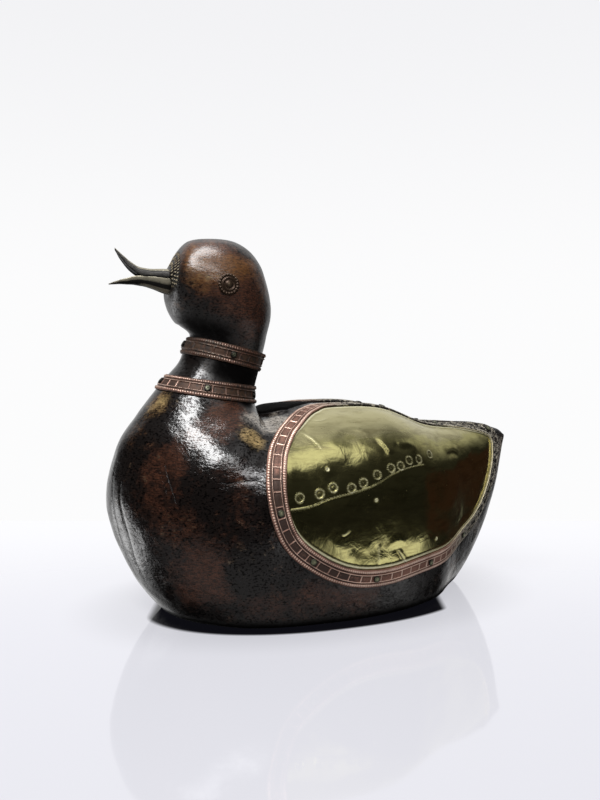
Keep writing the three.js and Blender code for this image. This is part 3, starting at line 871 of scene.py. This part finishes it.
# top and under: height of the strip's faces over the wood at its inner and outer edge;
# floor, bead, rail, rung, pillow and lip: the relief's heights over the upper face
strip = {
    "half": 6.2, "top": (2.6, 0.9), "under": (1.85, 0.1), "neckTop": (0.35, 0.35),
    "neckUnder": (0.1, 0.1), "beads": 5, "beadAt": 4.7, "beadWide": 1.05, "railAt": 2.5,
    "railWide": 0.32, "rungWide": 0.4, "rowsPerCell": 25, "loose": 1.1, "floor": 0.2,
    "bead": (0.25, 0.75), "rail": 0.72, "rung": 0.66, "pillow": 0.16, "lip": 0.28,
}
stripHalf = np.array([0, 1.1, 1.9, 2.15, 2.35, 2.5, 2.65, 2.85, 3.1, 3.45, 3.65, 3.9, 4.3, 4.7,
                      5.1, 5.5, 5.75, 5.95, 6.2])
stripOffsets = np.concatenate([-stripHalf[:0:-1], stripHalf])


def stripRelief(share, offset, pitchLength):
    # height over the strip's base: a row of beads and a rail each side, rungs between cells
    away = np.abs(offset)
    drift = 0.06 * np.sin(share * 1.7) + 0.05 * np.sin(share * 4.3 + 1)
    bead = np.sqrt(np.clip(1 - ((away - strip["beadAt"]) / strip["beadWide"]) ** 2, 0, 1))
    low, full = strip["bead"]
    bead = bead * (low + (full - low) * np.abs(np.cos(np.pi * strip["beads"] * share)))
    rail = strip["rail"] * bell(away - strip["railAt"], strip["railWide"])
    fromRung = ((share + drift) % 1 - 0.5) * pitchLength
    rung = strip["rung"] * bell(fromRung, strip["rungWide"]) * ramp(away, 2.6, 2.3)
    pillow = strip["pillow"] * ramp(np.abs(fromRung), 0.6, 1.8) * ramp(away, 1.9, 0.8)
    lip = strip["lip"] * between(away, 5.6, 5.8, 6.0, 6.2)
    highest = np.maximum.reduce(np.broadcast_arrays(bead, rail, rung, pillow, lip))
    return strip["floor"] + highest


def copperStrip(name, node, path, pitches, top, under, sign, wear, looseAt=None):
    # wear: for each attribute of the finish, how it runs along the strip
    rows = pitches * strip["rowsPerCell"]
    share = np.arange(rows) / strip["rowsPerCell"]
    station, angle = besideLine(path, share, stripOffsets)
    flat, normals = woodPoint(station, angle), woodNormal(station, angle)
    length = np.linalg.norm(woodPoint(*path(0.5)) - woodPoint(*path(-0.5)))
    across = (stripOffsets / strip["half"] + 1) / 2
    relief = stripRelief(share[:, None], stripOffsets, length)
    relief = relief + 0.1 * unevenness(flat, 5, 61)
    base = top[0] + (top[1] - top[0]) * across
    if looseAt is not None:  # an end of the strip that has lifted
        gap = (share[:, None] - looseAt + pitches / 2) % pitches - pitches / 2
        lifted = between(gap, -0.5, 0, 0, 0.04) * ramp(stripOffsets, -6, 6)
        base = base + strip["loose"] * lifted
    upper = flat + normals * (base + relief)[..., None]
    ends = [0, len(stripOffsets) // 2, -1]
    lowBase = under[0] + (under[1] - under[0]) * across[ends]
    lower = (flat[:, ends] + normals[:, ends] * lowBase[:, None])[:, ::-1]
    places = np.concatenate([upper, lower], axis=1)
    rise = np.concatenate([ramp(relief, 0.2, 0.95), np.zeros((rows, 3))], axis=1)
    fields = {key: np.repeat(at(share)[:, None], rise.shape[1], 1) for key, at in wear.items()}
    fields["lip"] *= np.append(ramp(stripOffsets, -5.7, -6.1), np.zeros(3))
    places[..., 0] *= sign
    columns = places.shape[1]
    return makePiece(name, places, [gridFaces(rows, columns, wrapRows=True, wrapColumns=True)],
                     copperFinish, [node], {"rise": rise, **fields})


# old: grey where the strip runs up the tail and along the back, and painted shade under the chin;
# rubbed: worn pale at the shoulder, painted light on the wing's bottom run; grime: grime and painted
# shade, dark in the shade of the head; lip: painted highlight along one edge on the back
wingWear = {
    "oldAndShade": lambda share: between(share, 18, 24, 50, 55),
    # worn pale at the shoulder, and painted light along the bottom run, which lies in low light
    "rubbedAndLit": lambda share: (0.28 * between(share, 50, 54, 60, 66)
                             + 0.35 * between(share, 6, 12, 22, 28)),
    "grimeAndShade": lambda share: 0.1 * np.sin(share * 0.7) ** 2 + 0.12 * ramp(share, 50, 54),
    # painted highlight along the lip on the back run
    "lip": lambda share: between(share, 19, 23, 38, 42),
}
lowerNeckWear = {
    "oldAndShade": lambda share: 0.25 * ramp(np.abs(share - 12), 5, 7),
    "rubbedAndLit": lambda share: 0.12 + 0.1 * np.sin(share * 1.1),
    "grimeAndShade": lambda share: 0.85 - 0.55 * ramp(np.abs(share - 12) / 12, 0.45, 0.05),
    "lip": np.zeros_like,
}
upperNeckWear = {
    # painted shade under the chin: the front of the upper strip is darkened
    "oldAndShade": lambda share: 0.7 * ramp(np.abs((share - 10) % 20 - 10), 5.4, 6.6),
    "rubbedAndLit": lambda share: 0.1 * np.sin(share * 1.3),
    "grimeAndShade": lambda share: 0.8 + 0.12 * np.sin(share * 0.9),
    "lip": np.zeros_like,
}


def hoopPath(station, pitches):
    return evenLine(lambda t: (np.full(np.shape(t), float(station)), t * 2 * np.pi), 1, pitches)


def turnedOn(seat, away, high, turn):
    # points at a distance and height from a seat on the wood, turned round its upward way
    centre, east, north, up = seat
    ways = np.cos(turn)[:, None] * east + np.sin(turn)[:, None] * north
    return centre + away[..., None] * ways + high[..., None] * up


nail = {"radius": 2.3, "height": 0.75, "skirt": 1.1, "sides": 26, "rows": 9}


def nailHead(name, node, station, angle, lift, seed, crownLight=1.0):
    # a low dome turned round the wood's normal: height falls as the square root of 1 - r r
    t = np.linspace(0, 1, nail["rows"])[1:, None]
    turn = np.linspace(0, 2 * np.pi, nail["sides"], endpoint=False)
    wobble = 1 + 0.05 * np.sin(2 * turn + seed) + 0.03 * np.sin(3 * turn + 2.3 * seed)
    away = nail["radius"] * np.sin(t * np.pi / 2) * wobble
    high = nail["height"] * (0.25 + 0.75 * np.cos(t * np.pi / 2)) + 0 * turn
    away = np.vstack([away, away[-1:] * 0.98, away[-1:] * 0.9])
    high = np.vstack([high, np.full((2, nail["sides"]), 0.05)])
    high[-1] = -nail["skirt"]
    seat = seatOn(station, angle, lift)
    tips = [seat[0] + seat[3] * nail["height"], seat[0] - seat[3] * nail["skirt"]]
    # painted highlight on the crown; less of it on the neck nails, which lie in the head's shade
    top = (1 - 0.75 * np.clip(away / nail["radius"], 0, 1) ** 2) * (high > 0.1) * crownLight
    return makeTube(name, turnedOn(seat, away, high, turn), tips, nailFinish, [node],
                    {"top": (top, (crownLight, 0))})


wingNails = [0, 5, 11, 17, 23, 29, 35, 41, 47]
wingNailLift = 2.75
neckNailLift = 1.45
for side, sign in (("left", 1), ("right", -1)):
    copperStrip(side + "_wing_copper", side + "_wing_border", wingPath, wingPitches,
                strip["top"], strip["under"], sign, wingWear)
    for n, cell in enumerate(wingNails, 1):
        station, angle = wingPath(np.array(float(cell)))
        nailHead(f"{side}_wing_nail_head_{n}", f"{side}_wing_nail_{n}", station, sign * angle,
                 wingNailLift, n + (sign < 0) * 0.5)

for name, station, pitches, nails, wear, loose in (
        ("lower_neck", 13, 24, [2, 7, 12, 17, 22], lowerNeckWear, None),
        ("upper_neck", 15.1, 20, [0, 5, 10, 15], upperNeckWear, 1.2)):
    path = hoopPath(station, pitches)
    copperStrip(name + "_copper", name + "_band", path, pitches, strip["neckTop"],
                strip["neckUnder"], 1, wear, loose)
    for n, cell in enumerate(nails, 1):
        place = path(np.array(float(cell)))
        nailHead(f"{name}_nail_head_{n}", f"{name}_nail_{n}", *place, neckNailLift, n, 0.55)
print("copper strips nailed on")

# eyes

# rim, ring and boss: heights in millimetres; bend: how far the edge follows the head down
eye = {"station": 18.23, "angle": math.radians(86.7), "radius": 7.2, "lift": 0.5, "sink": 1.0,
       "notches": 20, "rows": 60, "sides": 156, "rim": 0.95, "ring": 0.6, "boss": 1.0,
       "bend": 0.75, "wall": 0.35}


def stampedEye(side, sign):
    # a disc: notched rim, a ring and a boss, its edge bent down over the head as r squared
    share = np.linspace(0.02, 1, eye["rows"])[:, None]
    turn = np.linspace(0, 2 * np.pi, eye["sides"], endpoint=False)
    notch = 0.5 + 0.5 * np.cos(turn * eye["notches"])
    high = (eye["rim"] * bell(share - 0.86, 0.09) * (0.3 + 0.7 * notch)
            + eye["ring"] * bell(share - 0.56, 0.07))
    boss = eye["boss"] * np.sqrt(np.clip(1 - (share / 0.34) ** 2, 0, 1))
    high = high + boss + 0.12 - eye["bend"] * share ** 2
    away = eye["radius"] * share * np.where(share > 0.93, 0.96 + 0.04 * notch, 1)
    away = np.vstack([away, away[-1:], away[-1:] * 0.96])
    foot = high[-1:] - eye["wall"]
    high = np.vstack([high, foot, foot - eye["sink"]])
    seat = seatOn(eye["station"], sign * eye["angle"], eye["lift"])
    tips = [seat[0] + seat[3] * (eye["boss"] + 0.12), seat[0] - seat[3] * (eye["sink"] + 1.0)]
    # paler where the disc stands higher: painted highlight on the rim, ring and boss
    edge = np.clip(0.1 + 0.5 * (high + eye["bend"] * (away / eye["radius"]) ** 2), 0, 1)
    return makeTube(side + "_stamped_eye", turnedOn(seat, away, high, turn), tips, metalFinish,
                    [side + "_eye"],
                    {"edge": (edge, (0.7, 0)), "brown": (np.ones(edge.size), (1, 1))})


stampedEye("left", 1)
stampedEye("right", -1)
print("eyes set")

# beak

# sections: forward, top, underside, half width
upperBeak = np.array([
    (104, 232.2, 226.6, 6.8), (114, 233, 227, 7.2), (124, 232.9, 227.7, 7), (131.6, 234, 228.4, 6.2),
    (137.5, 237.2, 232.2, 5), (143, 242, 238.2, 3.4), (147.3, 246, 244.6, 0.9),
])
lowerBeak = np.array([
    (104, 225.8, 215.6, 6.6), (113, 226, 216, 7), (122, 226.6, 219, 7), (129, 227.3, 221, 6.4),
    (136, 226.9, 221.8, 5.4), (144, 224.9, 222, 3.6), (151.6, 222.4, 221.7, 0.9),
])
beak = {"rows": 90, "sides": 56, "round": 0.85, "hollow": 0.3, "uneven": 0.18}


def beakHalf(name, node, sections, opensDown):
    # a long tapering trough: an arched outer side and a hollow inner side with rounded lips
    forward, top, under, half = np.moveaxis(
        curveThrough(sections, np.linspace(0, len(sections) - 1, beak["rows"])), -1, 0)[..., None]
    turn = np.linspace(0, 2 * np.pi, beak["sides"], endpoint=False)
    arch, side = np.sin(turn), np.abs(np.cos(turn))
    lips = 0.06 * bell(side - 0.93, 0.06)
    hollow = beak["hollow"] * np.abs(arch) ** 1.4 - 0.08 - lips
    shape = np.where(arch >= 0, np.abs(arch) ** beak["round"], hollow)  # 0 on the lips, 1 at the crest
    high = top - under
    z = under + high * shape if opensDown else top - high * shape
    x = half * np.cos(turn) * (1 - 0.06 * np.clip(-arch, 0, 1))
    places = np.stack([x + 0 * z, -forward + 0 * z, z], -1)
    places += beak["uneven"] * unevenness(places, 4, 71)[..., None] * (1, 0, 1)
    # painted highlight along the lips and the upper half's crest, painted reflection of the floor
    # under the lower half
    crest = 0.85 * ramp(shape, 0.6, 0.8) if opensDown else (
        0.9 * between(shape, 0.62, 0.8, 0.95, 1) * ramp(forward, 136, 128))
    lipLight = 0.35 if opensDown else 0.85
    edge = np.clip(0.1 + lipLight * ramp(side, 0.86, 1.0) + crest, 0, 1) + 0 * z
    return makeTube(name, places, [places[0].mean(0), places[-1].mean(0)], metalFinish, [node],
                    {"edge": (edge, (0, 0.8))})


beakHalf("upper_beak_half", "upper_beak", upperBeak, True)
beakHalf("lower_beak_half", "lower_beak", lowerBeak, False)
print("beak fitted")

# camera, floor and light

shot = {"azimuth": 69, "aim": (0.012, -0.022), "distance": 0.6076, "height": 0.1855,
        "pitch": 3.95, "lens": 39.06}
azimuth = math.radians(shot["azimuth"])
backward = np.array([math.sin(azimuth), -math.cos(azimuth), 0])
rightward = np.array([-backward[1], backward[0], 0])
upward = np.array([0, 0, 1])

camera = addObject("camera", bpy.data.cameras.new("camera"))
camera.location = (*(np.array(shot["aim"]) + backward[:2] * shot["distance"]), shot["height"])
camera.rotation_euler = (math.radians(90 - shot["pitch"]), 0, azimuth)
camera.data.lens = shot["lens"]
camera.data.sensor_width = 36
bpy.context.scene.camera = camera

table = {"behind": 0.255, "front": 0.30, "side": 0.33}
corners = [(-table["side"], -table["behind"]), (table["side"], -table["behind"]),
           (table["side"], table["front"]), (-table["side"], table["front"])]
floorMesh = bpy.data.meshes.new("pale_floor")
floorMesh.from_pydata([tuple(rightward * a + backward * b) for a, b in corners], [], [(0, 1, 2, 3)])
floor = addObject("pale_floor", floorMesh)
floor.visible_glossy = False  # the world holds the floor's reflection


# the shade where the duck stands: half sizes and middle of its ellipse, and its cut ends
shade = {"side": 0.078, "front": 0.121, "middle": -0.010, "square": 2.2,
         "left": (-0.122, -0.114), "right": (0.088, 0.081), "soft": 0.14}


def paleFloor():
    # a faintly glowing pale sheet, dark where the duck stands: the shade falls off with the
    # distance from an ellipse round the base
    f = Finish("pale_floor")
    place = f.place()
    side = f.size(f.toward(place, (1, 0, 0))) * (1 / shade["side"])
    front = f.size(f.toward(place, (0, 1, 0)) - shade["middle"]) * (1 / shade["front"])
    right = f.toward(place, rightward)
    away = side ** shade["square"] + front ** shade["square"]
    under = f.step(away, 1.1, 0.97) * f.step(right, *shade["left"]) * f.step(right, *shade["right"])
    white = 1 - f.most(under, f.step(away, 2.4, 0.9) * shade["soft"])
    near = f.step(f.toward(place, backward), -0.2, 0.12)
    glow = f.blend(near, (0.66, 0.66, 0.69), (0.60, 0.60, 0.65))
    return f.surface(Base_Color=f.blend(white, (0, 0, 0), (0.1, 0.1, 0.104)), Roughness=0.05,
                     IOR=1.36, Emission_Color=f.blend(white, (0.004, 0.004, 0.006), glow),
                     Emission_Strength=1.0)


floorMesh.materials.append(paleFloor())


def softbox(name, azimuth, elevation, distance, width, height, roll, radiance, aim=(0, 0, 0.12)):
    # azimuth from the camera's side, positive to its right; roll turns the long side; the
    # power is radiance x area x pi
    a, e, r = (math.radians(angle) for angle in (azimuth, elevation, roll))
    level = backward * math.cos(a) + rightward * math.sin(a)
    way = level * math.cos(e) + upward * math.sin(e)
    across = rightward * math.cos(a) - backward * math.sin(a)
    tall = upward * math.cos(e) - level * math.sin(e)
    longSide = across * math.cos(r) + tall * math.sin(r)
    lamp = bpy.data.lights.new(name, "AREA")
    lamp.shape, lamp.size, lamp.size_y = "RECTANGLE", width, height
    lamp.energy = radiance * width * height * math.pi
    holder = addObject(name, lamp)
    holder.location = way * distance + np.array(aim)
    holder.rotation_euler = Matrix([longSide, np.cross(way, longSide), way]).transposed().to_euler()
    holder.visible_camera = False


softbox("key_softbox", -25, 52, 1.2, 0.84, 0.28, -41, 25)
softbox("side_softbox", 10, 37, 1.2, 0.74, 0.26, -22, 9)
softbox("head_softbox", 48, 74, 0.085, 0.062, 0.045, 0, 15, aim=(0.014, -0.108, 0.2515))


def studioWorld():
    # white to the camera; to the object a white backdrop behind, a pale ceiling, a dark room
    # on the camera's side and the pale floor below, each over a range of directions
    f = Finish("studio", bpy.data.worlds.new("studio"))
    bpy.context.scene.world = f.owner
    way = f.add("TexCoord", {}, {}, "Generated")
    front, right, up = (f.toward(way, axis) for axis in (backward, rightward, upward))

    def near(a, b, c):
        return f.toward(way, a * backward + b * rightward + c * upward)

    above = f.step(up, -0.02, 0.03)
    room = 0.019 * above
    backdrop = f.step(front - 0.5 * up, -0.45, -1.1) * 0.8
    ceiling = f.most(up, 0) ** 6 * 0.62
    glow = f.step(near(0.43, 0.47, 0.77), 0.95, 0.993) * 0.95
    wall = f.step(front, -0.1, -0.5) * f.step(right, 0.3, 0.6) * f.step(up, 0.12, 0.42) * 0.42
    lit = f.most(f.most(backdrop, ceiling), f.most(glow, wall))
    floorLeft = f.step(front, 0.12, -0.3) * f.step(right, 0.1, -0.3) * f.step(up, -0.75, -0.5)
    floorBehind = f.step(front, -0.61, -0.74) * f.step(up, -0.55, -0.35) * 0.65
    floorFront = f.step(front, 0.1, 0.5) * f.step(up, -0.3, -0.6) * 0.3
    floorRight = f.step(right, 0.5, 0.74) * f.step(front, -0.3, 0.02)
    floorRight = floorRight * f.step(up, -0.28, -0.34) * f.step(up, -0.72, -0.52) * 0.85
    below = f.most(f.most(floorLeft * 0.95, floorBehind), f.most(floorRight, floorFront)) + 0.012
    lamp = f.step(near(-0.228, -0.853, -0.469), 0.92, 0.98) * f.step(up, -0.66, -0.5) * 4.4
    light = lit * above + room + f.most(below, lamp) * (1 - above)
    warm = f.step(right, 0.72, 0.86) * f.step(front, -0.66, -0.55) * f.step(front, -0.1, -0.2)
    warm = warm * f.step(up, 0.1, 0.02) * f.step(up, -0.32, -0.22)
    light = light * (1 - warm) + warm * 0.026
    fill = f.add("Background", {}, {
        "Color": f.blend(warm, (1, 1, 1), (1.0, 0.5, 0.42)), "Strength": light})
    seen = f.blend(f.step(up, 0.02, 0.42), (0.974, 0.974, 0.978), (0.885, 0.885, 0.905))
    white = f.add("Background", {}, {"Color": seen, "Strength": 1.0})
    straight = f.add("LightPath", {}, {}, "Is Camera Ray")
    mixed = f.add("MixShader", {}, {0: straight, 1: fill, 2: white})
    f.add("OutputWorld", {}, {"Surface": mixed})


studioWorld()
bpy.context.scene.view_settings.view_transform = "Standard"
print("camera, floor and light placed")
